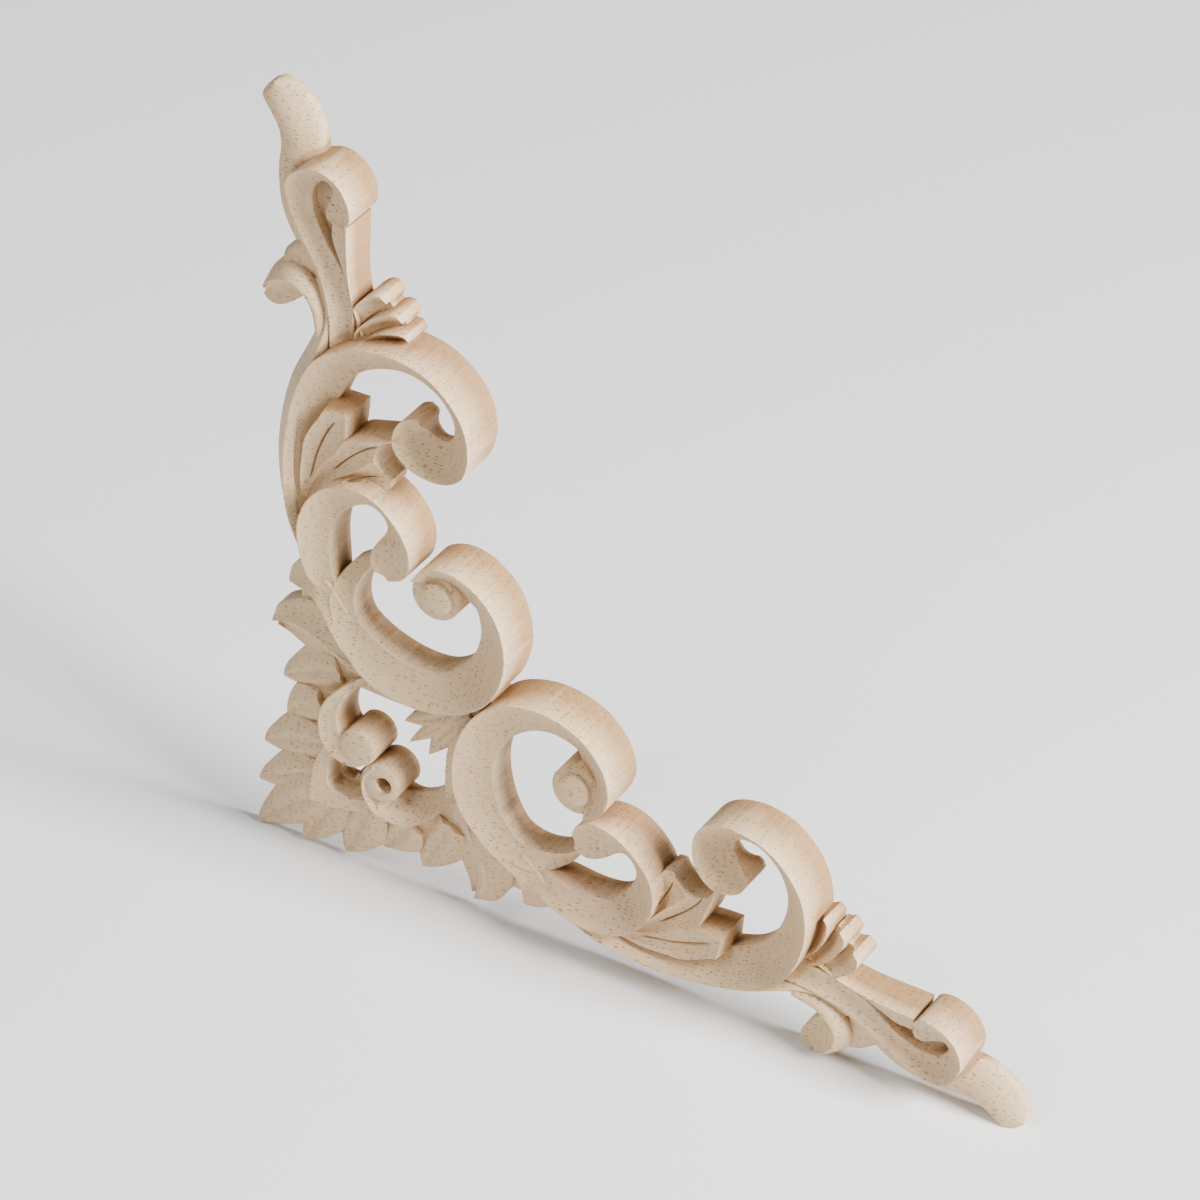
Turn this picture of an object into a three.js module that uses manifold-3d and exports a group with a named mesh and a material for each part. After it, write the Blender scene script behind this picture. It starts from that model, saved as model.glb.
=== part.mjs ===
// Carved wooden corner onlay: two mirrored scroll arms that meet in an acanthus corner.
// One carved piece with a flat back. Millimetres, +Z up; the back lies in the plane Y = 0
// and the carving looks towards -Y. The arms run along +X and +Z.
//
// Places are traced as [x, z, height]: x and z from the two straight outer sides that the
// leaf tips touch, and the height of the surface above the flat back.

import * as THREE from 'three';
import { mergeVertices } from 'three/addons/utils/BufferGeometryUtils.js';
import Module from 'manifold-3d';

const wasm = await Module();
wasm.setup();

// Driving sizes
const armLength = 202;          // from the outer side of the corner to the end of an arm
const reliefHeight = 13.5;      // the highest carved edge above the flat back
const mountInset = 12;          // from each outer side to the point of reference
const shoulderWidth = 4;        // rounded outer shoulder of the long stems
const shoulderFoot = 5;         // height at which that shoulder starts
const eyeRadius = 3.9;          // raised eye of the large scroll
const eyeHeight = 11.5;         // its face above the back
const pitRadius = 2.2;          // drilled pit in the curl of the lower corner scroll
const pitFloor = 3;             // wood left under that pit
const bossSides = 16;           // facets round each boss
const smallestDetail = 0.02;    // slivers thinner than this are cleaned off the joined solid

// The carving was drawn on an arm of this length and height; a longer arm or a deeper
// relief stretches the drawing.
const drawnLength = 202;
const drawnHeight = 13.5;
const along = armLength / drawnLength;
const up = reliefHeight / drawnHeight;

// Turns a traced place into a point of the solid.
function place(x, z, height) {
  return new THREE.Vector3(x * along - mountInset, -height * up, z * along - mountInset);
}

// A closed solid from rings of equal length: each ring is a cross-section that starts and
// ends on the flat back.
function solidFromRings(rings) {
  const count = rings[0].length;
  const positions = [];
  for (const ring of rings) {
    for (const point of ring) {
      positions.push(point.x, point.y, point.z);
    }
  }
  const faces = [];
  for (let i = 0; i + 1 < rings.length; i += 1) {
    for (let j = 0; j < count; j += 1) {
      const k = (j + 1) % count;
      const a = i * count + j;
      const b = i * count + k;
      const c = (i + 1) * count + k;
      const d = (i + 1) * count + j;
      faces.push(a, b, c, a, c, d);
    }
  }
  const last = (rings.length - 1) * count;
  for (let j = 1; j + 1 < count; j += 1) {
    faces.push(0, j + 1, j);
    faces.push(last, last + j, last + j + 1);
  }
  const geometry = new THREE.BufferGeometry();
  geometry.setAttribute('position', new THREE.Float32BufferAttribute(positions, 3));
  geometry.setIndex(faces);
  return solidFromGeometry(geometry);
}

// Six times the volume inside a mesh, negative when its faces look inwards.
function signedVolume(positions, index) {
  const a = new THREE.Vector3();
  const b = new THREE.Vector3();
  const c = new THREE.Vector3();
  let volume = 0;
  for (let i = 0; i < index.length; i += 3) {
    a.fromArray(positions, index[i] * 3);
    b.fromArray(positions, index[i + 1] * 3);
    c.fromArray(positions, index[i + 2] * 3);
    volume += a.dot(b.cross(c));
  }
  return volume;
}

// Gives a mesh to the boolean library, with its faces looking outwards.
function solidFromGeometry(source) {
  const bare = source.clone();
  bare.deleteAttribute('normal');
  bare.deleteAttribute('uv');
  const merged = mergeVertices(bare, 1e-4);
  const positions = Float32Array.from(merged.attributes.position.array);
  const triangles = Uint32Array.from(merged.index.array);
  if (signedVolume(positions, triangles) < 0) {
    for (let i = 0; i < triangles.length; i += 3) {
      const first = triangles[i];
      triangles[i] = triangles[i + 1];
      triangles[i + 1] = first;
    }
  }
  const mesh = new wasm.Mesh({ numProp: 3, vertProperties: positions, triVerts: triangles });
  return new wasm.Manifold(mesh);
}

// A smooth curve through the traced places of one edge of a band.
function edgeCurve(ribs, offset) {
  const points = ribs.map((rib) => new THREE.Vector3(rib[offset], rib[offset + 1], rib[offset + 2]));
  return new THREE.CatmullRomCurve3(points, false, 'centripetal');
}

// A carved band over two or more rails, from its rim to its lip. Each rib gives the facing
// places on all rails: [x, z, height, x, z, height, ...]. The face between two rails bulges
// by `swell`, or is hollow where that is negative. A shoulder leans the outer wall out.
function band({ ribs, swell = 0, shoulder = 0, foot = shoulderFoot, steps = 24, spans = 4 }) {
  const rails = [];
  for (let offset = 0; offset < ribs[0].length; offset += 3) {
    rails.push(edgeCurve(ribs, offset));
  }
  const rings = [];
  for (let i = 0; i <= steps; i += 1) {
    const points = rails.map((rail) => rail.getPoint(i / steps));
    const outer = points[0];
    const inner = points[points.length - 1];
    const away = new THREE.Vector2(outer.x - points[1].x, outer.y - points[1].y).normalize();
    const ring = [];
    const footX = outer.x + away.x * shoulder;
    const footZ = outer.y + away.y * shoulder;
    ring.push(place(footX, footZ, 0));
    if (shoulder > 0) {
      ring.push(place(footX, footZ, Math.min(foot, outer.z)));
    }
    ring.push(place(outer.x, outer.y, outer.z));
    for (let k = 1; k < points.length; k += 1) {
      for (let j = 1; j <= spans; j += 1) {
        const share = j / spans;
        const point = points[k - 1].clone().lerp(points[k], share);
        const rise = swell * 4 * share * (1 - share);
        ring.push(place(point.x, point.y, point.z + rise));
      }
    }
    ring.push(place(inner.x, inner.y, 0));
    rings.push(ring);
  }
  return solidFromRings(rings);
}

// A leaf blade from its root to its tip along a bowed spine. Its half width follows a
// rounded lens, and the face falls from a middle ridge to both sides.
function blade({ root, tip, width, bow = 0, fullAt = 0.5, blunt = 0.6, fall = 2, steps = 5 }) {
  const start = new THREE.Vector3(...root);
  const end = new THREE.Vector3(...tip);
  const across = new THREE.Vector2(-(end.y - start.y), end.x - start.x).normalize();
  const rings = [];
  for (let i = 0; i <= steps; i += 1) {
    const t = (i / steps) * 0.995;
    const spine = start.clone().lerp(end, t);
    const bend = bow * 4 * t * (1 - t);
    const open = t < fullAt ? 1 - 0.35 * (1 - t / fullAt) ** 2 : ((1 - t) / (1 - fullAt)) ** blunt;
    const half = (width / 2) * open;
    const ring = [];
    const shares = [-1, 0, 1];
    for (const share of shares) {
      const x = spine.x + across.x * (bend + half * share);
      const z = spine.y + across.y * (bend + half * share);
      const drop = fall * Math.abs(share) * open;
      if (share === -1) {
        ring.push(place(x, z, 0));
      }
      ring.push(place(x, z, Math.max(spine.z - drop, 1)));
      if (share === 1) {
        ring.push(place(x, z, 0));
      }
    }
    rings.push(ring);
  }
  return solidFromRings(rings);
}

// A round boss standing on the back, with a slightly domed face.
function boss({ x, z, radius, height, dome = 0.6 }) {
  const profile = [];
  profile.push(new THREE.Vector2(0, 0));
  profile.push(new THREE.Vector2(radius, 0));
  profile.push(new THREE.Vector2(radius, height - dome));
  profile.push(new THREE.Vector2(radius * 0.7, height - dome * 0.3));
  profile.push(new THREE.Vector2(0, height));
  const lathe = new THREE.LatheGeometry(profile, bossSides);
  const index = lathe.index.array;
  const source = lathe.attributes.position;
  const positions = [];
  for (let i = 0; i < source.count; i += 1) {
    const point = place(x + source.getX(i), z + source.getZ(i), source.getY(i));
    positions.push(point.x, point.y, point.z);
  }
  const geometry = new THREE.BufferGeometry();
  geometry.setAttribute('position', new THREE.Float32BufferAttribute(positions, 3));
  geometry.setIndex([...index]);
  return solidFromGeometry(geometry);
}

// The long stem: it leaves the large scroll, runs up the outer side as a channel with a
// raised rim, turns over at the top and closes in the crown scroll with its hooked end.
const stemAndCrown = {
  ribs: [
    [16.5, 81, 8, 19, 83, 6.5],
    [10.8, 92, 10, 15.6, 92, 6],
    [8.5, 103, 10, 14.6, 101, 6],
    [8.6, 114, 10, 14.5, 112, 6],
    [11, 127, 10.5, 18.5, 123, 5.5],
    [17.6, 140.3, 12.5, 22.5, 133, 5],
    [25.3, 146.2, 13.3, 28, 137.8, 5],
    [37, 149.2, 13.5, 37.5, 140.2, 5],
    [47.6, 147, 13.5, 45, 137.6, 5],
    [55.7, 139.6, 13.5, 49.4, 132.2, 5],
    [58, 130.5, 13, 49.4, 128, 4.5],
    [55.4, 122.2, 11.5, 48, 125.6, 4],
    [48.6, 117.8, 9.8, 46, 124.7, 3.2],
    [41, 118.4, 9.3, 44.4, 125.4, 3.6],
    [36.8, 122.8, 9.6, 43.2, 127, 4.6],
    [37, 127.4, 9.8, 43, 128.8, 6.5],
    [38.8, 130.6, 9.6, 43.2, 130, 8],
    [41.2, 131.8, 9, 42.8, 131, 8.8],
  ],
  swell: -1.4,
  steps: 30,
  spans: 3,
};
const stemShoulder = {
  ribs: [
    [15.5, 82, 9.5, 16.5, 84, 8],
    [10.8, 92, 10, 12.5, 92, 8],
    [8.5, 103, 10, 10.5, 102.5, 8],
    [8.6, 114, 10, 10.6, 113.5, 8],
    [11, 127, 10.5, 13, 126, 8],
    [17.2, 142, 10.6, 19, 141, 8],
    [18.6, 150, 9.3, 20.6, 150, 7.4],
    [15.9, 160.5, 8.8, 17.9, 161.5, 7],
    [10.5, 170, 8.6, 12.3, 171, 6.4],
    [7.8, 176.6, 7.4, 9.6, 177, 6],
    [7, 182, 5.2, 9, 182.4, 5],
  ],
  shoulder: shoulderWidth,
  steps: 14,
  spans: 1,
};

// The upper stem leaves the crown, leans outwards and curls over in the end scroll.
const upperStemAndCurl = {
  ribs: [
    [19.5, 141, 9, 25, 145, 7.5],
    [19.2, 151, 9.5, 25, 153.5, 8.5],
    [16.2, 160.5, 9, 22.3, 161.8, 8],
    [10.8, 169.8, 9, 16.6, 169.3, 7.4],
    [8, 176.5, 9.3, 13.4, 175.4, 7],
    [8.2, 182.6, 10.8, 13.2, 180.8, 7],
    [11.4, 187, 12, 15, 183.3, 7],
    [17.5, 189.4, 12.5, 17.2, 183.8, 7.5],
    [22.4, 187.4, 12.5, 19, 182.8, 8.3],
    [25.1, 183.4, 12.4, 18.9, 180.8, 9.2],
    [25.6, 179.6, 12, 18.4, 178.6, 9.9],
    [24.8, 177.4, 11.6, 18.8, 176.9, 10.3],
    [22.6, 176.2, 11.2, 20.4, 176.3, 10.8],
  ],
  swell: -1,
  steps: 19,
  spans: 2,
};
const curlPocketFloor = {
  ribs: [
    [15, 163, 4, 22, 163, 4],
    [11, 172, 4, 21, 173, 4],
    [13.5, 185.2, 4, 20, 185.2, 4],
  ],
  steps: 2,
  spans: 1,
};

// The tail: the broad end of the arm, thin at its inner side and pointed at the outer one.
const tail = {
  ribs: [
    [5.2, 170, 5, 14, 170, 4],
    [3.6, 178, 5, 14, 178, 4],
    [3.9, 186, 5, 13.6, 187, 3.2],
    [3, 191.2, 5, 12.8, 192.4, 2.4],
    [0.6, 195.2, 5, 11, 196.6, 2],
    [-0.4, 197.6, 4.6, 8.2, 199.8, 1.7],
    [-0.8, 199.2, 4, 4.8, 201.8, 1.5],
    [0, 201, 3, 1.8, 202.4, 1.5],
  ],
  swell: 1.6,
  steps: 8,
  spans: 3,
};

// The sheath leaf that stands under the curl and closes its pocket.
const sheathLeaf = {
  ribs: [
    [27, 148, 8, 24, 149, 6.5],
    [24.6, 157, 9.8, 21.3, 158.5, 6],
    [24, 165, 10.4, 19.6, 166, 5.5],
    [23.6, 171.5, 10.6, 19.3, 172.5, 5.2],
    [22.6, 177.6, 11, 19.8, 177.6, 6],
  ],
  swell: -0.6,
  steps: 7,
  spans: 2,
};

// The outer hook: a leaf that turns out and rolls over, with a second one behind it.
const hookBack = {
  ribs: [
    [18.2, 145, 8.5, 15.8, 145, 9],
    [17.8, 151, 8, 14.8, 151.2, 9.5],
    [15.3, 156, 7.5, 12.5, 155, 10],
    [11, 159, 6.5, 9.2, 156.6, 10],
    [6, 159.1, 5, 5.8, 155.6, 9.5],
    [2, 156, 4, 2.8, 153.3, 8.8],
    [0.7, 153, 4, 1.4, 150.9, 8],
  ],
  swell: 0.8,
  steps: 9,
  spans: 2,
};
const hookHollow = {
  ribs: [
    [13.4, 154.3, 9.6, 12.6, 152.4, 7],
    [11, 156.3, 9.8, 10.2, 150.6, 5],
    [8, 156.7, 9.8, 6.8, 148.2, 4.5],
    [5, 155.4, 9.4, 3.6, 147, 4.5],
    [2.4, 152.6, 8.6, 1.6, 147.6, 5],
    [1.2, 150.6, 8, 0.8, 149, 5.5],
  ],
  swell: -1.6,
  steps: 7,
  spans: 1,
};
const hookSecond = {
  ribs: [
    [17.5, 160, 8, 18.2, 150, 7],
    [12.6, 165.3, 7.5, 15.2, 157, 6],
    [9, 165.4, 6, 10, 158, 5.5],
    [5.2, 161.6, 4.5, 4.8, 156, 5],
  ],
  swell: 0.8,
  steps: 7,
  spans: 2,
};

// Three lobed fingers between the sheath leaf and the crown, each a step below the last.
const upperFinger = {
  ribs: [
    [23.3, 151, 7, 24.3, 148, 6.5],
    [25, 154.6, 8.8, 26.6, 150.6, 7],
    [26.6, 157, 9.3, 28.3, 153, 6.4],
    [28.1, 158.8, 9.6, 29.9, 154.6, 5.8],
    [29.8, 160.2, 9.7, 31.3, 155.6, 5.4],
    [31.4, 160.7, 9.5, 32.3, 156.2, 5],
    [32.7, 160.2, 9, 32.9, 156.8, 5],
    [33.3, 158.9, 8.4, 32.9, 157.6, 5.5],
  ],
  steps: 6,
  spans: 1,
};
const middleFinger = {
  ribs: [
    [25, 145.5, 8, 27, 146, 8],
    [25.8, 149, 8.8, 28.6, 148.1, 7],
    [28, 152, 9.4, 31, 150.2, 6.3],
    [30.2, 154.2, 9.7, 33.2, 151.5, 5.8],
    [32.8, 156, 9.7, 35.1, 152.3, 5.4],
    [35.2, 157, 9.5, 36.5, 152.8, 5],
    [36.9, 156.6, 9, 37, 153.4, 5],
    [37.6, 155.3, 8.4, 36.9, 154.1, 5.5],
  ],
  steps: 6,
  spans: 1,
};
const lowerFinger = {
  ribs: [
    [26.4, 145.4, 8, 30, 146, 8],
    [29.8, 149.4, 9.3, 32.7, 147, 6.5],
    [32.3, 151.2, 9.6, 34.7, 147.6, 5.8],
    [34.9, 152.2, 9.7, 36.3, 148, 5.2],
    [37.2, 152.6, 9.5, 37.6, 148.2, 4.8],
    [38.8, 152.2, 9, 38.4, 148.8, 4.8],
    [39.4, 151, 8.4, 38.6, 149.6, 5],
  ],
  steps: 6,
  spans: 1,
};

// Leaves in the hollow of the stem: a blade with a hollow top that ends in a point, and
// two broader leaves beside it with a groove between.
const stemBlade = {
  ribs: [
    [10.3, 98.6, 5.5, 12.2, 99.3, 7.5, 12.6, 99.3, 7.2, 13, 99.2, 7.4, 13.3, 99.1, 7.1],
    [10.8, 104.8, 5.5, 13, 105.2, 8.6, 13.8, 105.2, 7.5, 14.6, 105, 8.2, 15, 104.7, 7],
    [11.6, 111, 5.5, 14, 111.2, 9.1, 15.3, 111.6, 7, 16.9, 110.8, 8.7, 17.4, 110.2, 6.6],
    [13.2, 115.9, 5.2, 15.8, 117.2, 9.3, 17.3, 116.6, 6.5, 19.7, 115, 9, 20.3, 114.2, 6.2],
    [15.8, 120.8, 5, 18.2, 122.9, 9.3, 20.1, 121.4, 6.4, 23.4, 119.5, 9.2, 24, 118.5, 5.8],
    [18.2, 124.5, 5, 20.9, 126.2, 9.3, 22.2, 124.4, 7, 24.8, 123, 9.2, 25.3, 122.4, 5.4],
    [21, 127.6, 5, 23.6, 128.3, 9.2, 24.2, 127.4, 8.6, 25.2, 126.8, 9.2, 25.4, 126.6, 8],
  ],
  steps: 7,
  spans: 1,
};
const middleStemLeaf = {
  ribs: [
    [13.1, 99.2, 7, 14.2, 99, 8, 14.6, 98.4, 7.4],
    [14.9, 104.8, 7, 16.3, 105, 8.6, 16.7, 103.6, 7],
    [17.3, 110.3, 6.6, 18.6, 109.5, 9, 19, 107.4, 6.4],
    [20.2, 114.4, 6.2, 22, 113.6, 9.2, 22, 111.2, 6],
    [23.8, 118.4, 5.8, 26.9, 118.8, 9.2, 26.8, 115.8, 6],
    [25.2, 121.8, 5.4, 31.7, 121.6, 9, 31.4, 118.6, 6.2],
    [26.4, 122.1, 5.4, 36, 123, 8.6, 35.6, 120.6, 6.8],
  ],
  steps: 7,
  spans: 1,
};
const lowerStemLeaf = {
  ribs: [
    [14.3, 98.7, 7.2, 15.6, 98.8, 8.3, 18, 97, 7],
    [16.7, 103.6, 7, 18, 104.3, 8.9, 20.5, 101.5, 6.5],
    [19, 107.4, 6.4, 20.6, 107.8, 9.1, 23, 104.5, 6],
    [22, 111.2, 6, 23.4, 110.8, 9.2, 26, 106, 5.8],
    [26.8, 115.8, 6, 27.5, 113.6, 9.2, 28.5, 107, 5.5],
    [31.4, 118.6, 6.2, 31.3, 115.2, 9, 31, 108, 5.5],
    [35, 121.2, 6.4, 34, 117.6, 8.4, 33.5, 109, 4.6],
    [39, 119.6, 5, 37, 115.4, 3.6, 36, 109.5, 2.8],
  ],
  steps: 7,
  spans: 1,
};

// The small scroll below the crown, with its turned-in end.
const smallScroll = {
  ribs: [
    [19, 73, 6.5, 23, 74, 5.5],
    [15.8, 80, 10.2, 21.8, 79, 7.6],
    [14.5, 86, 11.5, 21.3, 84, 8.5],
    [14, 95, 12.5, 20.8, 92, 8.5],
    [17.2, 103.5, 13, 22, 97.5, 8],
    [22.3, 108.4, 13, 25, 100.5, 6],
    [28.5, 110.3, 13, 28.5, 101.5, 5],
    [34.8, 109, 13, 31.5, 100.5, 5],
    [40, 104.8, 13, 34, 98.6, 6],
    [42.8, 100, 12.6, 34.2, 97.4, 7],
    [43.4, 95.5, 11.8, 33.2, 95.6, 8.4],
    [42.4, 91.2, 10.8, 31.9, 92.8, 9.2],
    [40, 88.3, 10.2, 31.8, 90.2, 9.6],
    [37, 87, 10, 33.2, 88, 9.8],
  ],
  swell: -0.8,
  steps: 20,
  spans: 2,
};

// The large scroll: from the leaves at the outer side round to its raised eye.
const largeScroll = {
  ribs: [
    [28, 87, 3.5, 31.7, 88.3, 8],
    [24, 84, 4.5, 28.8, 83.8, 8],
    [20.8, 76.5, 8.5, 26.8, 76.8, 7.6],
    [22.5, 68, 9.3, 28.1, 71.3, 7.4],
    [27, 61.5, 10.2, 32, 68.2, 7.5],
    [33.5, 57.5, 11, 37.2, 66.1, 7.8],
    [41.5, 56, 11.5, 43.2, 65, 8],
    [50.5, 57, 12, 49.8, 65.6, 7.5],
    [59, 60.5, 12.5, 54.6, 68.6, 7],
    [66, 67, 13, 57.6, 72.8, 6],
    [69.2, 76, 13, 58.8, 77.5, 5.5],
    [68.7, 84, 13, 58.6, 81.5, 5.5],
    [65.5, 91, 13, 57, 85.4, 5.5],
    [59.5, 96, 13, 53.5, 87.5, 6.5],
    [53, 97.5, 13, 51.5, 89.5, 8],
    [47, 95.3, 12.5, 50, 90, 9],
    [43.5, 90.5, 11.5, 49.5, 89.5, 9.5],
  ],
  swell: -0.9,
  steps: 25,
  spans: 3,
};

// The two leaves that the large scroll grows from, and the slope under the lower one.
const upperRootLeaf = {
  ribs: [
    [7.8, 72.5, 5, 7.7, 73.5, 5],
    [10.7, 73.2, 6.5, 8.4, 77, 5],
    [14.2, 73.6, 8, 11.2, 80.5, 6],
    [17.6, 72.6, 9, 15, 82.5, 8],
    [20.3, 69.6, 9.5, 20, 79, 8.2],
    [23, 65.6, 9.9, 24.6, 73, 7.6],
    [26.3, 61.8, 9.9, 29, 67.5, 6.4],
    [29.5, 59.5, 9, 32, 64, 5.5],
  ],
  swell: -0.5,
  steps: 9,
  spans: 2,
};
const lowerRootLeaf = {
  ribs: [
    [2.6, 58.8, 4, 2.9, 60, 4],
    [7.3, 61.4, 6, 5, 65.2, 4.5],
    [12, 62.6, 7, 9.7, 68.4, 4.8],
    [17, 62.2, 8, 14, 70, 5.5],
    [22, 60.6, 9, 19, 69, 6.4],
    [27, 58.6, 9.8, 25, 65, 7],
    [31, 57.4, 9.6, 30, 61, 6.5],
  ],
  swell: -0.4,
  steps: 8,
  spans: 2,
};
const rootSlope = {
  ribs: [
    [2.8, 58.9, 4, 4, 58, 3.5],
    [7.3, 61.4, 6, 7.5, 57.6, 4],
    [12.5, 62.6, 7, 12, 56, 4.5],
    [19, 61.8, 8.5, 18.5, 54.5, 5.5],
    [25, 60.5, 9.5, 25, 52, 6],
    [33, 57.9, 10, 32.5, 51.3, 6],
    [41.5, 56.2, 10.4, 41, 51.3, 6],
    [50.5, 57.1, 10.4, 49, 52.5, 6],
  ],
  swell: -1.5,
  steps: 9,
  spans: 2,
};

// Pointed leaves along the outer side, from the large scroll down to the corner.
const outerLeaves = [
  { root: [23, 53.6, 7.4], tip: [6, 44.8, 3.6], width: 12, bow: -0.3 },
  { root: [18.8, 42.6, 7.6], tip: [7.2, 34.4, 3.6], width: 11.4, bow: -0.6 },
  { root: [20.2, 32.4, 8.2], tip: [1, 23.8, 3.2], width: 12.6, bow: -0.5 },
  { root: [19.5, 23.5, 8.2], tip: [-0.2, 12.2, 3.2], width: 11, bow: -0.5 },
];
const cornerLeaf = { root: [20, 20, 8.5], tip: [-0.6, -0.6, 2.8], width: 13 };

// The wood between those leaves: it fills the valleys from one notch to the next.
const leafGround = {
  ribs: [
    [10.4, 79, 4.2, 24, 76, 6.5],
    [10.8, 68.2, 4.2, 30, 67, 6.5],
    [12.6, 56.4, 4.2, 34, 60, 6.5],
    [12.8, 45.4, 4.2, 24, 47, 6],
    [12, 34.2, 4, 21, 37, 6],
    [7.2, 22.4, 3.4, 19.5, 28, 6],
    [5.6, 13, 3.2, 19, 19, 6],
    [9, 9, 3.4, 19.5, 18.5, 6],
  ],
  steps: 7,
  spans: 1,
};

// The turned-in head of the large scroll and its raised eye.
const largeScrollHead = { x: 49, z: 87.2, radius: 6.2, height: 9.8 };
const largeScrollEye = { x: 50, z: 87.6, radius: eyeRadius, height: eyeHeight };

// Leaflets that hang from the meeting of the two large scrolls.
const innerLeaflets = [
  { root: [58, 58, 9], tip: [39.6, 46.3, 5], width: 8, bow: 0.6 },
];
const middleLeaflet = { root: [64, 64, 9], tip: [41.4, 41.4, 5.5], width: 7 };

const leafletGround = {
  ribs: [
    [44, 48, 4.5, 48, 44, 4.5],
    [51.5, 58, 6.5, 58, 51.5, 6.5],
    [59, 63, 8, 63, 59, 8],
  ],
  steps: 2,
  spans: 1,
};

// The shield in the corner: a raised border round a sunk floor, open towards the scrolls.
const shieldBorder = {
  ribs: [
    [21.5, 36, 9.5, 25, 36, 9],
    [18.6, 29, 9.5, 22.3, 29.5, 9],
    [17.4, 23, 9.5, 21.8, 25, 9],
    [17.2, 17.2, 9.5, 22.5, 22.5, 9],
  ],
  steps: 3,
  spans: 1,
};
const shieldFloor = {
  ribs: [
    [20, 34, 4, 25.5, 33, 4],
    [20, 28, 4, 25.2, 29, 4],
    [20, 20, 4, 25.2, 25.2, 4],
  ],
  steps: 2,
  spans: 1,
};

// The pair of corner scrolls. The upper one stands up round an open crescent; the lower
// one is hollowed down to the back and has a drilled pit in its curl.
const upperCornerScroll = {
  ribs: [
    [30.5, 56, 5.5, 29.2, 54, 5.5],
    [24.8, 52, 10, 26, 49.5, 9.5],
    [21, 47, 10.5, 24.4, 45.5, 9.5],
    [19.6, 41, 10.5, 24.3, 42, 9.5],
    [20.8, 35.8, 10.5, 25.3, 39.5, 9.5],
    [24.5, 32.5, 10.5, 27, 38.5, 9.5],
    [29, 32, 10.5, 29, 38, 9.8],
    [32.6, 33.9, 10.4, 30.5, 38.5, 10],
  ],
  swell: -0.3,
  steps: 14,
  spans: 2,
};
const upperCurl = { x: 30.2, z: 37.6, radius: 4.7, height: 10.5 };
const lowerCornerScroll = {
  ribs: [
    [56, 32.6, 6, 52, 33.2, 3],
    [49, 24.3, 10, 47, 27.8, 2.5],
    [44, 21.2, 10.5, 42.8, 25.8, 2.5],
    [39, 20.4, 10.5, 40, 26, 3.5],
    [34.8, 21.5, 10.5, 38, 27, 6],
    [32, 25.5, 10.5, 37, 28, 8],
    [31.8, 30, 10.5, 36.5, 29, 8.5],
    [34.5, 34.2, 10.5, 37, 30, 8.5],
  ],
  swell: -0.5,
  steps: 14,
  spans: 2,
};
const lowerCurl = { x: 36.3, z: 29.8, radius: 5, height: 10.2 };
const lowerPit = { x: 37.5, z: 30, radius: pitRadius, height: reliefHeight, dome: 0 };
const pitBottom = { x: 37.5, z: 30, radius: pitRadius + 1, height: pitFloor, dome: 0 };

// Everything that both arms share, made once and mirrored about the diagonal.
function armSolids() {
  const solids = [];
  const bands = [
    stemAndCrown,
    stemShoulder,
    upperStemAndCurl,
    curlPocketFloor,
    tail,
    sheathLeaf,
    hookBack,
    hookHollow,
    hookSecond,
    upperFinger,
    middleFinger,
    lowerFinger,
    stemBlade,
    middleStemLeaf,
    lowerStemLeaf,
    smallScroll,
    largeScroll,
    upperRootLeaf,
    lowerRootLeaf,
    rootSlope,
    leafGround,
    shieldBorder,
    shieldFloor,
  ];
  for (const sizes of bands) {
    solids.push(band(sizes));
  }
  for (const sizes of [...outerLeaves, ...innerLeaflets]) {
    solids.push(blade(sizes));
  }
  for (const sizes of [largeScrollHead, largeScrollEye]) {
    solids.push(boss(sizes));
  }
  return solids;
}

// The mirror image of a solid about the diagonal between the two arms.
function mirrored(solid) {
  const mesh = solid.getMesh();
  const positions = Float32Array.from(mesh.vertProperties);
  for (let i = 0; i < positions.length; i += 3) {
    const x = positions[i];
    positions[i] = positions[i + 2];
    positions[i + 2] = x;
  }
  const triangles = Uint32Array.from(mesh.triVerts);
  for (let i = 0; i < triangles.length; i += 3) {
    const first = triangles[i];
    triangles[i] = triangles[i + 1];
    triangles[i + 1] = first;
  }
  return new wasm.Manifold(new wasm.Mesh({ numProp: 3, vertProperties: positions, triVerts: triangles }));
}

function joined(solids) {
  let whole = solids[0];
  for (const solid of solids.slice(1)) {
    whole = whole.add(solid);
  }
  return whole;
}

function cornerOnlay() {
  const arm = joined(armSolids());
  const single = [
    blade(cornerLeaf),
    blade(middleLeaflet),
    band(leafletGround),
    band(upperCornerScroll),
    boss(upperCurl),
    band(lowerCornerScroll),
    boss(lowerCurl),
  ];
  const pit = boss(lowerPit).subtract(boss(pitBottom));
  const whole = joined([arm, mirrored(arm), ...single]).subtract(pit);
  return whole.simplify(smallestDetail);
}

// Wraps the finished solid as a three.js mesh.
function meshFromSolid(name, solid, material) {
  const result = solid.getMesh();
  const geometry = new THREE.BufferGeometry();
  geometry.setAttribute('position', new THREE.BufferAttribute(Float32Array.from(result.vertProperties), 3));
  geometry.setIndex([...result.triVerts]);
  geometry.computeVertexNormals();
  const mesh = new THREE.Mesh(geometry, material);
  mesh.name = name;
  return mesh;
}

const carvedWood = new THREE.MeshStandardMaterial({ color: 0xe0c8ae, roughness: 0.8, metalness: 0 });

const onlay = new THREE.Group();
onlay.add(meshFromSolid('corner_onlay', cornerOnlay(), carvedWood));

export default onlay;
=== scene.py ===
"""Carved wooden corner onlay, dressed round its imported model.

One carved piece: two mirrored arms of scrolls and leaves that meet in an acanthus corner.
Places are written as [x, z, height] in millimetres: x and z from the two straight outer
sides that the leaf tips touch, and the height of the surface above the flat back.
"""

import bpy
import numpy as np
from mathutils import Matrix


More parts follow.
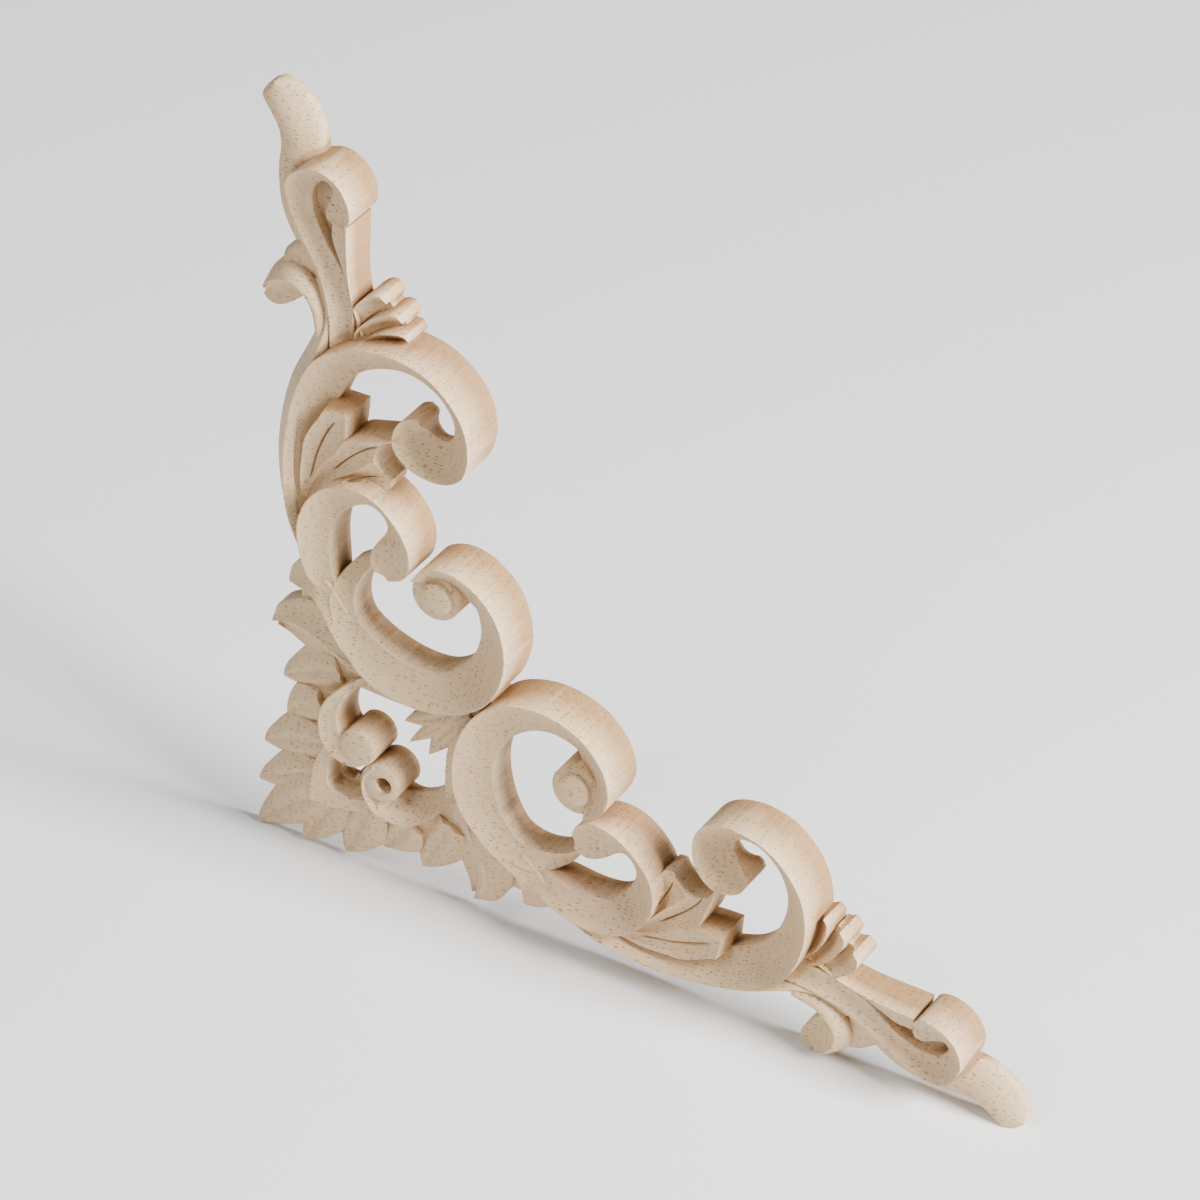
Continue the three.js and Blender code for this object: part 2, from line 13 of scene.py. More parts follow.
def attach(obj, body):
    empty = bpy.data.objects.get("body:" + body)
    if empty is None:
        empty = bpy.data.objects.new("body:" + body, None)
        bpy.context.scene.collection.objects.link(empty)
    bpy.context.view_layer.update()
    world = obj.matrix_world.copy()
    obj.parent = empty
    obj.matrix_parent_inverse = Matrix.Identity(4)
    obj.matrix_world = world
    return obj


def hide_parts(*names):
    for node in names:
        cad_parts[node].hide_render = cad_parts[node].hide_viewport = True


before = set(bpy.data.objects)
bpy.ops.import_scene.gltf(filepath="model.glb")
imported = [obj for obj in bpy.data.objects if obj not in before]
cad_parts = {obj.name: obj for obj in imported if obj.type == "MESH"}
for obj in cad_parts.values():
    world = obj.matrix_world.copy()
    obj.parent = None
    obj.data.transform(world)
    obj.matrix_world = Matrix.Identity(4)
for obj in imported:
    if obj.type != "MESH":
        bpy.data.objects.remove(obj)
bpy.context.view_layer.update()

# Stems and scrolls: each arm is one long stem that leaves the corner, runs along the outer
# side as a channel with a raised rim and closes in the crown scroll, with two more scrolls
# below. All are cut with a gouge from one board and stand on upright sawn walls.
INSET = 12.0         # mm from the outer sides to the point of reference
SHOULDER = 4.0       # mm that the outer wall of the stem leans out
SHOULDER_FOOT = 5.0  # mm of upright wall below the leaning part
EDGE = 0.3           # mm of rounding that sanding leaves on an arris
THINNEST = 0.3       # mm that an edge stays above the back
RAIL_SAMPLES = 40    # samples per rib for measuring the length of a rail


def curve_through(points, t):
    """Places at the parameters t on a centripetal Catmull-Rom curve: between two points it
    is a cubic whose end slopes come from the neighbours, weighed by the roots of the
    distances. The ends go on straight."""
    points = np.asarray(points, float)
    ends = [2 * points[0] - points[1]], points, [2 * points[-1] - points[-2]]
    p = np.concatenate(ends)
    i = np.clip(t.astype(int), 0, len(points) - 2)
    u = (t - i)[:, None]
    gap = np.maximum(np.linalg.norm(np.diff(p, axis=0), axis=1), 1e-6) ** 0.5
    a, b, c = gap[i][:, None], gap[i + 1][:, None], gap[i + 2][:, None]
    p0, p1, p2, p3 = p[i], p[i + 1], p[i + 2], p[i + 3]
    s1 = ((p1 - p0) / a - (p2 - p0) / (a + b) + (p2 - p1) / b) * b
    s2 = ((p2 - p1) / b - (p3 - p1) / (b + c) + (p3 - p2) / c) * b
    bend = 2 * (p1 - p2) + s1 + s2
    sag = 3 * (p2 - p1) - 2 * s1 - s2
    return ((bend * u + sag) * u + s1) * u + p1


def rails(ribs, pitch):
    """The rails through their ribs, sampled together so that the middle line between the
    first and the last rail is cut into even steps of about one pitch."""
    ribs = np.asarray(ribs, float)
    fine = np.linspace(0, len(ribs) - 1, RAIL_SAMPLES * len(ribs))
    middle = (curve_through(ribs[:, :3], fine) + curve_through(ribs[:, -3:], fine)) / 2
    run = np.concatenate([[0], np.cumsum(np.linalg.norm(np.diff(middle, axis=0), axis=1))])
    steps = max(int(run[-1] / pitch), 3)
    t = np.interp(np.linspace(0, run[-1], steps + 1), run, fine)
    return [curve_through(ribs[:, k:k + 3], t) for k in range(0, ribs.shape[1], 3)]


def added(name, data):
    """A new object with this name and data, linked to the scene."""
    piece = bpy.data.objects.new(name, data)
    bpy.context.scene.collection.objects.link(piece)
    return piece


def solid(rings):
    """A closed mesh from rings of points: neighbouring rings are joined by quads, and the
    first and the last ring are closed by one face each. The faces look outwards."""
    rows, count = rings.shape[:2]
    points = rings.reshape(-1, 3)
    i, j = np.meshgrid(np.arange(rows - 1), np.arange(count), indexing="ij")
    k = (j + 1) % count
    quads = np.stack([i * count + j, i * count + k, (i + 1) * count + k, (i + 1) * count + j], -1)
    faces = quads.reshape(-1, 4).tolist()
    faces.append(list(range(count))[::-1])
    faces.append(list(range((rows - 1) * count, rows * count)))
    place = np.stack([points[:, 0] - INSET, -points[:, 2], points[:, 1] - INSET], 1) / 1000
    a, b, c, d = (place[quads.reshape(-1, 4)[:, n]] for n in range(4))
    volume = np.sum(a * (np.cross(b, c) + np.cross(c, d)))
    if volume < 0:
        faces = [face[::-1] for face in faces]
    mesh = bpy.data.meshes.new("form")
    mesh.from_pydata(place.tolist(), [], faces)
    return added("form", mesh)


def ribbon(ribs, swell=0.0, shoulder=0.0, pitch=0.7, across=7, edge=EDGE):
    """A carved face over two or more rails. Between neighbouring rails the height goes
    straight, plus the swell times a parabola that is nought at both; the outer arrises are
    rounded, and the walls drop to the back. A shoulder leans the first wall out."""
    lines = rails(ribs, pitch)
    rim, lip = lines[0], lines[-1]

    def inward(line, other):
        """The unit way from one rail to the other, the rounding there and the width."""
        way = other[:, :2] - line[:, :2]
        width = np.maximum(np.linalg.norm(way, axis=1, keepdims=True), 1e-6)
        return way / width, np.minimum(edge, width * 0.2), width

    def point(plan, height):
        """Places from a plan and a height."""
        return np.concatenate([plan, height], 1)

    way, soft, width = inward(rim, lines[1])
    back, soft_lip, width_lip = inward(lip, lines[-2])
    foot = rim[:, :2] - way * shoulder
    ring = [point(foot, 0 * width)]
    if shoulder:
        ring.append(point(foot, np.minimum(SHOULDER_FOOT, rim[:, 2:])))
    ring.append(point(rim[:, :2], rim[:, 2:] - soft))
    for n, (one, two) in enumerate(zip(lines, lines[1:])):
        start = soft / width if n == 0 else 0
        end = 1 - soft_lip / width_lip if n == len(lines) - 2 else 1
        for share in np.linspace(0, 1, across)[0 if n == 0 else 1:]:
            s = start + (end - start) * share
            step = one + (two - one) * s
            step[:, 2:] += swell * 4 * s * (1 - s)
            ring.append(step)
    ring.append(point(lip[:, :2], np.maximum(lip[:, 2:] - soft_lip, THINNEST)))
    ring.append(point(lip[:, :2], 0 * width))
    return solid(np.stack(ring, 1))


def turned(x, z, radius, rows, sides):
    """A round form on an upright axis at x, z. Each row is one ring: its share of the radius
    and its height."""
    angle = np.linspace(0, 2 * np.pi, sides, endpoint=False)
    rings = []
    for share, height in rows:
        plan_x = x + radius * share * np.cos(angle)
        plan_z = z + radius * share * np.sin(angle)
        rings.append(np.stack([plan_x, plan_z, height + 0 * angle], 1))
    return solid(np.stack(rings))


def disc(x, z, radius, height, dome=0.6, sides=48):
    """A round boss on the back: a cylinder whose face is a low dome with a rounded edge."""
    rows = [(1, 0), (1, height - dome - EDGE), (0.97, height - dome)]
    rows += [(np.cos(a), height - dome + dome * np.sin(a)) for a in (0.45, 0.8, 1.15, 1.45)]
    return turned(x, z, radius, rows, sides)


arm = [
    # stem and crown scroll
    ribbon([
        [16.5, 81, 8, 19, 83, 6.5],
        [10.8, 92, 10, 15.6, 92, 6],
        [8.5, 103, 10, 14.6, 101, 6],
        [8.6, 114, 10, 14.5, 112, 6],
        [11, 127, 10.5, 18.5, 123, 5.5],
        [17.6, 140.3, 12.5, 22.5, 133, 5],
        [25.3, 146.2, 13.3, 28, 137.8, 5],
        [37, 149.2, 13.5, 37.5, 140.2, 5],
        [47.6, 147, 13.5, 45, 137.6, 5],
        [55.7, 139.6, 13.5, 49.4, 132.2, 5],
        [58, 130.5, 13, 49.4, 128, 4.5],
        [55.4, 122.2, 11.5, 48, 125.6, 4],
        [48.6, 117.8, 9.8, 46, 124.7, 3.2],
        [41, 118.4, 9.3, 44.4, 125.4, 3.6],
        [36.8, 122.8, 9.6, 43.2, 127, 4.6],
        [37, 127.4, 9.8, 43, 128.8, 6.5],
        [38.8, 130.6, 9.6, 43.2, 130, 8],
        [41.2, 131.8, 9, 42.8, 131, 8.8],
    ], swell=-1.4, across=9),
    # raised outer rim of the stem
    ribbon([
        [15.5, 82, 9.5, 16.5, 84, 8],
        [10.8, 92, 10, 12.5, 92, 8],
        [8.5, 103, 10, 10.5, 102.5, 8],
        [8.6, 114, 10, 10.6, 113.5, 8],
        [11, 127, 10.5, 13, 126, 8],
        [17.2, 142, 10.6, 19, 141, 8],
        [18.6, 150, 9.3, 20.6, 150, 7.4],
        [15.9, 160.5, 8.8, 17.9, 161.5, 7],
        [10.5, 170, 8.6, 12.3, 171, 6.4],
        [7.8, 176.6, 7.4, 9.6, 177, 6],
        [7, 182, 5.2, 9, 182.4, 5],
    ], shoulder=SHOULDER, across=3),
    # small scroll
    ribbon([
        [19, 73, 6.5, 23, 74, 5.5],
        [15.8, 80, 10.2, 21.8, 79, 7.6],
        [14.5, 86, 11.5, 21.3, 84, 8.5],
        [14, 95, 12.5, 20.8, 92, 8.5],
        [17.2, 103.5, 13, 22, 97.5, 8],
        [22.3, 108.4, 13, 25, 100.5, 6],
        [28.5, 110.3, 13, 28.5, 101.5, 5],
        [34.8, 109, 13, 31.5, 100.5, 5],
        [40, 104.8, 13, 34, 98.6, 6],
        [42.8, 100, 12.6, 34.2, 97.4, 7],
        [43.4, 95.5, 11.8, 33.2, 95.6, 8.4],
        [42.4, 91.2, 10.8, 31.9, 92.8, 9.2],
        [40, 88.3, 10.2, 31.8, 90.2, 9.6],
        [37, 87, 10, 33.2, 88, 9.8],
    ], swell=-0.8),
    # large scroll and its eye
    ribbon([
        [28, 87, 3.5, 31.7, 88.3, 8],
        [24, 84, 4.5, 28.8, 83.8, 8],
        [20.8, 76.5, 8.5, 26.8, 76.8, 7.6],
        [22.5, 68, 9.3, 28.1, 71.3, 7.4],
        [27, 61.5, 10.2, 32, 68.2, 7.5],
        [33.5, 57.5, 11, 37.2, 66.1, 7.8],
        [41.5, 56, 11.5, 43.2, 65, 8],
        [50.5, 57, 12, 49.8, 65.6, 7.5],
        [59, 60.5, 12.5, 54.6, 68.6, 7],
        [66, 67, 13, 57.6, 72.8, 6],
        [69.2, 76, 13, 58.8, 77.5, 5.5],
        [68.7, 84, 13, 58.6, 81.5, 5.5],
        [65.5, 91, 13, 57, 85.4, 5.5],
        [59.5, 96, 13, 53.5, 87.5, 6.5],
        [53, 97.5, 13, 51.5, 89.5, 8],
        [47, 95.3, 12.5, 50, 90, 9],
        [43.5, 90.5, 11.5, 49.5, 89.5, 9.5],
    ], swell=-0.9, across=9),
    disc(49, 87.2, 6.2, 9.8),
    disc(50, 87.6, 3.9, 11.5),
]

# The end of the arm: the stem leans out above the crown and curls over a pocket that a
# sheath leaf closes. A broad tail runs out behind the curl, and a hooked leaf turns out
# beside it. All of it is carved in the same wood.
arm += [
    ribbon([
        [19.5, 141, 9, 25, 145, 7.5],
        [19.2, 151, 9.5, 25, 153.5, 8.5],
        [16.2, 160.5, 9, 22.3, 161.8, 8],
        [10.8, 169.8, 9, 16.6, 169.3, 7.4],
        [8, 176.5, 9.3, 13.4, 175.4, 7],
        [8.2, 182.6, 10.8, 13.2, 180.8, 7],
        [11.4, 187, 12, 15, 183.3, 7],
        [17.5, 189.4, 12.5, 17.2, 183.8, 7.5],
        [22.4, 187.4, 12.5, 19, 182.8, 8.3],
        [25.1, 183.4, 12.4, 18.9, 180.8, 9.2],
        [25.6, 179.6, 12, 18.4, 178.6, 9.9],
        [24.8, 177.4, 11.6, 18.8, 176.9, 10.3],
        [22.6, 176.2, 11.2, 20.4, 176.3, 10.8],
    ], swell=-1),
    ribbon([
        [15, 163, 4, 22, 163, 4],
        [11, 172, 4, 21, 173, 4],
        [13.5, 185.2, 4, 20, 185.2, 4],
    ], across=3),
    ribbon([
        [8, 164.5, 5, 15, 166, 4],
        [5.6, 168.6, 5, 14, 170, 4],
        [3.9, 173, 5, 14, 174, 4],
        [3.1, 178, 5, 14, 178.5, 4],
        [3, 183, 5, 13.9, 183.4, 3.6],
        [3.4, 187.4, 5, 13.5, 188, 3],
        [2.8, 191.4, 5, 12.8, 192.4, 2.4],
        [0.6, 195, 4.8, 11, 196.6, 2],
        [-1.5, 197, 4.2, 8.6, 199.7, 1.7],
        [-2.5, 198, 3.6, 6.2, 201.3, 1.5],
        [-1.9, 199.8, 2.6, 3.6, 202.4, 1.4],
        [-0.6, 201.3, 1.8, 1.6, 202.6, 1.3],
    ], swell=1.6, across=11),
    ribbon([
        [27, 148, 8, 25.4, 149, 7.5],
        [25.1, 155.6, 9, 24.2, 156.2, 8],
        [24.3, 160, 9.4, 22.6, 161, 8],
        [24, 165.5, 10, 20.8, 166, 8.2],
        [24, 171, 10.4, 19, 171, 8.3],
        [24, 176, 10.6, 19.4, 175.4, 8.8],
    ], swell=-0.6),
    # the hooked leaf, the hollow under its roll and the leaf behind it
    ribbon([
        [18.2, 145, 8.5, 15.8, 145, 9],
        [17.8, 151, 8, 14.8, 151.2, 9.5],
        [15.3, 156, 7.5, 12.5, 155, 10],
        [11, 159, 6.5, 9.2, 156.6, 10],
        [6, 159.1, 5, 5.8, 155.6, 9.5],
        [2, 156, 4, 2.8, 153.3, 8.8],
        [0.9, 153.1, 5, 1.2, 151, 7.8],
    ], swell=0.8),
    ribbon([
        [13.4, 154.3, 9.6, 12.6, 152.4, 7],
        [11, 156.3, 9.8, 9.8, 150.4, 5],
        [8, 156.7, 9.8, 6.4, 147.4, 4.5],
        [5, 155.4, 9.4, 3.2, 145.6, 4.5],
        [2.4, 152.6, 8.6, 1, 146.2, 5],
        [1.2, 150.6, 8, 0.2, 148.4, 6],
    ], swell=-1.6),
    ribbon([
        [17.5, 160, 8, 18.2, 150, 7],
        [12.6, 165.3, 7.5, 15.2, 157, 6],
        [9, 165.4, 6, 10, 158, 5.5],
        [5.2, 161.6, 4.5, 4.8, 156, 5],
    ], swell=0.8),
    # tool grooves run between the hook and the leaf behind it
    ribbon([
        [18.6, 148, 7.5, 17.4, 147, 8.2, 16.4, 147, 7.2, 15.4, 146.5, 8.2, 14, 146, 5],
        [18, 155, 7.2, 16.9, 153.6, 8, 15.6, 153, 6.8, 14.5, 152, 8, 12, 151, 5],
        [16.6, 161, 6.8, 15.2, 158.6, 7.6, 13.8, 157.4, 6.4, 12.6, 156, 7.4, 10, 154, 5],
    ], across=4, edge=0.1),
]

# The leaves: pointed, gouged leaves with a cut vein. They fan out of the stem under the
# crown, stand beside the sheath leaf, and line the outer side down to the corner and the
# meeting of the two large scrolls.
CLEAR = 16           # mm, a height above all of the carving
VEIN_SHARE = 0.36    # half width of a leaf's vein as a share of the leaf's half width
LEAF_FALL = 2.0      # mm that a leaf's face falls to its sides
LEAF_PITCH = 0.5     # mm between the ribs of a leaf


def leaf(root, tip, width, bow=0.0, full_at=0.5, blunt=0.55, vein=1.0, across=21):
    """A leaf from root to tip along a spine bowed to one side by a parabola. Its half width
    opens to the full width and closes at the tip with a power of the way left. The face
    falls to both sides with the square of the share across, and a V-shaped vein is cut down
    its middle."""
    root, tip = np.array(root, float), np.array(tip, float)
    steps = int(np.linalg.norm(tip - root) / LEAF_PITCH)
    t = np.linspace(0, 0.997, steps + 1)
    t = 1 - (1 - t) ** 1.15
    spine = root + (tip - root) * t[:, None]
    way = tip[:2] - root[:2]
    side = np.array([-way[1], way[0]]) / np.linalg.norm(way)
    opening = np.where(
        t < full_at,
        1 - 0.35 * (1 - t / full_at) ** 2,
        np.maximum((1 - t) / (1 - full_at), 0) ** blunt,
    )
    share = np.linspace(-1, 1, across)
    shift = (bow * 4 * t * (1 - t))[:, None] + width / 2 * opening[:, None] * share
    plan = spine[:, None, :2] + side * shift[..., None]
    drop = LEAF_FALL * np.abs(share) ** 2.0 + vein * np.clip(1 - np.abs(share) / VEIN_SHARE, 0, 1)
    drop = drop * opening[:, None] ** 0.7
    height = np.maximum(spine[:, 2:] - drop, 1)
    top = np.concatenate([plan, height[..., None]], 2)
    left, right = top[:, :1].copy(), top[:, -1:].copy()
    left[..., 2] = 0
    right[..., 2] = 0
    return solid(np.concatenate([left, top, right], 1))


def joined(pieces, cuts=()):
    """One closed mesh: the pieces are united one after the other, and the cuts are then
    taken away. The separate forms are removed."""
    body = pieces[0]
    others = [(piece, "UNION") for piece in pieces[1:]]
    others += [(cut, "DIFFERENCE") for cut in cuts]
    for other, operation in others:
        step = body.modifiers.new("join", "BOOLEAN")
        step.solver = "MANIFOLD"
        step.operation = operation
        step.object = other
    graph = bpy.context.evaluated_depsgraph_get()
    mesh = bpy.data.meshes.new_from_object(body.evaluated_get(graph))
    for form in [*pieces, *cuts]:
        bpy.data.objects.remove(form)
    return added("form", mesh)


def drill(x, z, radius, floor, sides=32):
    """A round cutter that stands on the floor height and ends above the carving."""
    return turned(x, z, radius, [(0.9, floor), (1, floor + 0.3), (1, CLEAR)], sides)


def furrow(places, width=0.9, depth=2.5):
    """A V-shaped cutter along a curve through the places, its edge down and its open side
    the depth above it."""
    line = rails([[*p, *p] for p in places], 0.8)[0]
    way = np.gradient(line[:, :2], axis=0)
    side = np.stack([-way[:, 1], way[:, 0]], 1) / np.linalg.norm(way, axis=1, keepdims=True)
    fade = np.minimum(1, np.minimum(np.arange(len(line)), np.arange(len(line))[::-1]) / 4)
    low = line[:, 2] + (1 - fade)
    top = (low + depth)[:, None]
    left = np.concatenate([line[:, :2] - side * width, top], 1)
    right = np.concatenate([line[:, :2] + side * width, top], 1)
    bottom = np.concatenate([line[:, :2], low[:, None]], 1)
    return solid(np.stack([left, bottom, right], 1))


arm += [
    # three lobed fingers beside the sheath leaf, each a step below the one before
    ribbon([
        [23.3, 151, 7, 24.3, 148, 6.5],
        [25, 154.6, 8.8, 26.6, 150.6, 7],
        [26.6, 157, 9.3, 28.3, 153, 6.4],
        [28.1, 158.8, 9.6, 29.9, 154.6, 5.8],
        [29.8, 160.2, 9.7, 31.3, 155.6, 5.4],
        [31.4, 160.7, 9.5, 32.3, 156.2, 5],
        [32.7, 160.2, 9, 32.9, 156.8, 5],
        [33.3, 158.9, 8.4, 32.9, 157.6, 5.5],
    ], swell=-0.9),
    ribbon([
        [25, 145.5, 8, 27, 146, 8],
        [25.8, 149, 8.8, 28.6, 148.1, 7],
        [28, 152, 9.4, 31, 150.2, 6.3],
        [30.2, 154.2, 9.7, 33.2, 151.5, 5.8],
        [32.8, 156, 9.7, 35.1, 152.3, 5.4],
        [35.2, 157, 9.5, 36.5, 152.8, 5],
        [36.9, 156.6, 9, 37, 153.4, 5],
        [37.6, 155.3, 8.4, 36.9, 154.1, 5.5],
    ], swell=-0.9),
    ribbon([
        [26.4, 145.4, 8, 30, 146, 8],
        [29.8, 149.4, 9.3, 32.7, 147, 6.5],
        [32.3, 151.2, 9.6, 34.7, 147.6, 5.8],
        [34.9, 152.2, 9.7, 36.3, 148, 5.2],
        [37.2, 152.6, 9.5, 37.6, 148.2, 4.8],
        [38.8, 152.2, 9, 38.4, 148.8, 4.8],
        [39.4, 151, 8.4, 38.6, 149.6, 5],
    ], swell=-0.9),
    ribbon([
        [23.5, 153, 5.4, 29, 147, 5.4],
        [27.5, 157, 5.2, 34, 149, 5.2],
        [31, 159, 4.6, 37.6, 150.4, 4.6],
    ], across=3),
    # the leaves in the hollow of the stem: a blade with a groove that ends square, and two
    # broader ones beside it, cut off by a round notch
    ribbon([
        [11.2, 99, 5.5, 12.2, 99.3, 7.4, 12.6, 99.3, 7.2, 13.3, 99.1, 7.3],
        [11.2, 105.2, 5.6, 12.2, 105.2, 8.2, 13.6, 105.2, 7.4, 15.3, 104.5, 7.9],
        [11.8, 111.6, 5.6, 12.8, 111.3, 8.6, 15.3, 110.6, 7.4, 18.1, 109.8, 8.3],
        [12.8, 116.9, 5.4, 13.8, 116.4, 9.2, 17.2, 115.4, 7.6, 21.4, 114.4, 8.8],
        [15, 121.6, 5.2, 16, 120.9, 9.8, 19.6, 120.1, 8.2, 24.4, 119.4, 9.4],
        [17.2, 124.8, 5, 18, 124, 10.4, 22.2, 124, 9.4, 25, 123.4, 10.3],
        [18.5, 126.9, 5, 19, 126.1, 10.8, 23, 126.8, 10.6, 25.2, 127.2, 10.7],
    ], swell=-0.3, across=7, edge=0.15),
    joined([ribbon([
        [13.2, 99.2, 7.2, 14.3, 98.9, 7.2, 15, 98.6, 8, 15.8, 98.4, 7.4, 18, 97, 7.4],
        [15, 104.7, 7.9, 16.3, 103.9, 7.2, 17.4, 103.4, 8.2, 18.6, 102.6, 7.4, 20.5, 101.5, 7.4],
        [17.7, 110.4, 8.5, 19.3, 108, 7.3, 20.6, 107.2, 8.6, 22.1, 105.8, 7.5, 23.4, 104.4, 7.8],
        [21.3, 115, 9, 22.6, 112, 7.4, 24.4, 110.4, 8.9, 25.6, 108.6, 7.6, 26.4, 106.4, 8],
        [25, 120.6, 10.2, 25.9, 115.9, 7.4, 28, 113.6, 9.1, 28.8, 110.8, 7.4, 29.2, 107.6, 8.4],
        [29.6, 122.4, 10.8, 30, 119.4, 7.8, 31.2, 116.6, 9.1, 31.6, 111.9, 7.2, 32, 108.4, 8],
        [33.6, 123.6, 10.4, 34, 121.6, 8.4, 33.8, 117.8, 9, 33.4, 112.6, 7, 33.8, 109.2, 7.6],
        [37.8, 125, 9.6, 37.6, 123.8, 8.8, 36.4, 118.6, 8.6, 35, 112.6, 6.8, 35, 109.8, 7],
    ], swell=-0.3, across=7, edge=0.15)], [drill(37.8, 117.7, 6.2, -1, 48)]),
    # the two leaves that the large scroll grows from, and the slope under them
    ribbon([
        [7.8, 72.5, 5, 7.7, 73.5, 5],
        [10.7, 73.2, 6.5, 8.4, 77, 5],
        [14.2, 73.6, 8, 11.2, 80.5, 6],
        [17.6, 72.6, 9, 15, 82.5, 8],
        [20.3, 69.6, 9.5, 20, 79, 8.2],
        [23, 65.6, 9.9, 24.6, 73, 7.6],
        [26.3, 61.8, 9.9, 29, 67.5, 6.4],
        [29.5, 59.5, 9, 32, 64, 5.5],
    ], swell=-0.5),
    ribbon([
        [2.6, 58.8, 4, 2.9, 60, 4],
        [7.3, 61.4, 6, 5, 65.2, 4.5],
        [12, 62.6, 7, 9.7, 68.4, 4.8],
        [17, 62.2, 8, 14, 70, 5.5],
        [22, 60.6, 9, 19, 69, 6.4],
        [27, 58.6, 9.8, 25, 65, 7],
        [31, 57.4, 9.6, 30, 61, 6.5],
    ], swell=-0.4),
    ribbon([
        [2.8, 58.9, 4, 4, 58, 3.5],
        [7.3, 61.4, 6, 7.5, 57.6, 4],
        [12.5, 62.6, 7, 12, 56, 4.5],
        [19, 61.8, 8.5, 18.5, 54.5, 5.5],
        [25, 60.5, 9.5, 25, 52, 6],
        [33, 57.9, 10, 32.5, 51.3, 6],
        [41.5, 56.2, 10.4, 41, 51.3, 6],
        [50.5, 57.1, 10.4, 49, 52.5, 6],
    ], swell=-1.5),
    # leaves along the outer side
    leaf([23, 53.6, 7.4], [6, 44.8, 3.6], 12, bow=-0.3),
    leaf([18.8, 42.6, 7.6], [7.2, 34.4, 3.6], 11.4, bow=-0.6),
    leaf([20.2, 32.4, 8.2], [1, 23.8, 3.2], 12.6, bow=-0.5),
    leaf([19.5, 23.5, 8.2], [-0.2, 12.2, 3.2], 11, bow=-0.5),
    ribbon([
        [10.4, 79, 4.2, 24, 76, 6.5],
        [10.8, 68.2, 4.2, 30, 67, 6.5],
        [12.6, 56.4, 4.2, 34, 60, 6.5],
        [12.8, 45.4, 4.2, 24, 47, 6],
        [12, 34.2, 4, 21, 37, 6],
        [7.2, 22.4, 3.4, 19.5, 28, 6],
        [5.6, 13, 3.2, 19, 19, 6],
        [9, 9, 3.4, 19.5, 18.5, 6],
    ], across=3, pitch=1.5),
    leaf([58, 58, 9], [39.6, 46.3, 5], 8, bow=0.6, vein=0.8, blunt=0.7),
]

# The corner: a carved shield with a raised border and a sunk floor. Two small scrolls of
# different form stand over it: the upper one open, the lower one hollowed to the back with
# a drilled pit in its curl.
arm += [
    ribbon([
        [21.5, 36, 9.5, 25, 36, 9],
        [18.6, 29, 9.5, 22.3, 29.5, 9],
        [17.4, 23, 9.5, 21.8, 25, 9],
        [17.2, 17.2, 9.5, 22.5, 22.5, 9],
    ], across=3),
    ribbon([
        [20, 34, 4, 25.5, 33, 4],
        [20, 28, 4, 25.2, 29, 4],
        [20, 20, 4, 25.2, 25.2, 4],
    ], across=3),
]
single = [
    leaf([20, 20, 8.5], [-0.6, -0.6, 2.8], 13, full_at=0.45, blunt=0.62),
    leaf([64, 64, 9], [41.4, 41.4, 5.5], 7, vein=0.8, blunt=0.7),
    ribbon([
        [44, 48, 4.5, 48, 44, 4.5],
        [51.5, 58, 6.5, 58, 51.5, 6.5],
        [59, 63, 8, 63, 59, 8],
    ], across=3),
    ribbon([
        [30.5, 56, 5.5, 29.2, 54, 5.5],
        [24.8, 52, 10, 26, 49.5, 9.5],
        [21, 47, 10.5, 24.4, 45.5, 9.5],
        [19.6, 41, 10.5, 24.3, 42, 9.5],
        [20.8, 35.8, 10.5, 25.3, 39.5, 9.5],
        [24.5, 32.5, 10.5, 27, 38.5, 9.5],
        [29, 32, 10.5, 29, 38, 9.8],
        [32.6, 33.9, 10.4, 30.5, 38.5, 10],
    ], swell=-0.3),
    disc(30.2, 37.6, 4.7, 10.5),
    ribbon([
        [56, 32.6, 6, 52, 33.2, 3],
        [49, 24.3, 10, 47, 27.8, 2.5],
        [44, 21.2, 10.5, 42.8, 25.8, 2.5],
        [39, 20.4, 10.5, 40, 26, 3.5],
        [34.8, 21.5, 10.5, 38, 27, 6],
        [32, 25.5, 10.5, 37, 28, 8],
        [31.8, 30, 10.5, 36.5, 29, 8.5],
        [34.5, 34.2, 10.5, 37, 30, 8.5],
    ], swell=-0.5, across=9),
    disc(36.3, 29.8, 5, 10.2),
]


# The whole carving: one arm is joined and its stem leaves are grooved with a V tool, the
# level arm is the same form with x and z exchanged, and the corner's own forms join them.
# Last come the drilled pit and the small hole beside the shield.
def vertex_rows(mesh, value="co"):
    """The places or normals of the mesh's vertices, one row of three for each."""
    rows = np.empty(len(mesh.vertices) * 3, np.float32)
    mesh.vertices.foreach_get(value, rows)
    return rows.reshape(-1, 3)


def mirrored(piece):
    """The same form with x and z exchanged, its faces turned back to look outwards."""
    mesh = piece.data.copy()
    mesh.vertices.foreach_set("co", vertex_rows(mesh)[:, ::-1].ravel())
    mesh.flip_normals()
    return added("form", mesh)


furrows = [
    [
        [14, 103.6, 6.6], [15, 108, 6.5], [16, 112.5, 6.5],
        [18.2, 118.2, 6.9], [20.6, 122.4, 7.9], [22.4, 124.8, 9],
    ],
    [
        [19.6, 108.5, 6.6], [22.6, 112.2, 6.6], [25.7, 115.6, 6.8],
        [29.9, 119.2, 7], [34, 121.4, 7.8],
    ],
    [[25, 109, 7.2], [28.8, 110.8, 6.7], [31.6, 111.9, 6.5], [34.6, 112.6, 6.3]],
]
upright = joined(arm, list(map(furrow, furrows)))
level = mirrored(upright)
carving = joined([upright, level, *single], [
    drill(37.5, 30, 2.2, 3),
    drill(24.8, 25, 1.9, -1),
])
carving.name = "corner_onlay_carving"
carving.data.name = "corner_onlay_carving"
carving.data.shade_smooth()
carving.data.set_sharp_from_angle(angle=np.radians(40))

